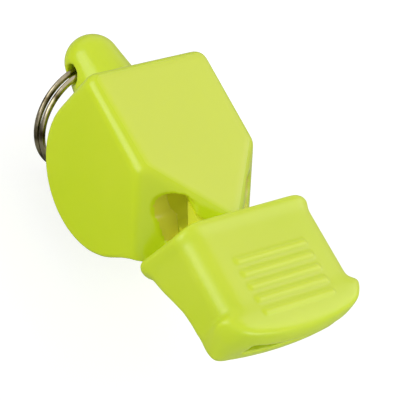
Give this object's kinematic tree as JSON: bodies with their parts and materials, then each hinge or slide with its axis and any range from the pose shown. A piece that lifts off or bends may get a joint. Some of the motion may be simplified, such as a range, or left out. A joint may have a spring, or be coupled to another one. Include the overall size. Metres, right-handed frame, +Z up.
{
  "type": "pealess sports whistle",
  "caption": "Pealess sports whistle with a faceted chamber body, a soft ribbed mouth sleeve and a split ring swinging in its rear lug.",
  "frame": {"origin": "point on the flat deck of the body, straight above the axis of the round lower chamber, in the middle plane", "axes": "+X forward to the mouthpiece, +Z up out of the deck, +Y to the left of someone facing forward"},
  "size_m": [0.0575, 0.0262, 0.0293],
  "materials": {
    "body_plastic": "glossy",
    "inner_plastic": "glossy",
    "sleeve_elastomer": "semi-gloss",
    "ring_steel": "polished nickel"
  },
  "bodies": {
    "whistle": {"lower_shell": "body_plastic", "top_cover": "body_plastic", "chamber_divider": "inner_plastic", "mouth_sleeve": "sleeve_elastomer"},
    "ring": {"split_ring": "ring_steel"}
  },
  "joints": [
    {"name": "ring_swing", "type": "hinge", "parent": "whistle", "child": "ring", "pos_m": [-0.0176, 0, -0.0118], "axis": [0, 1, 0], "range_deg": [-17, 233]}
  ]
}
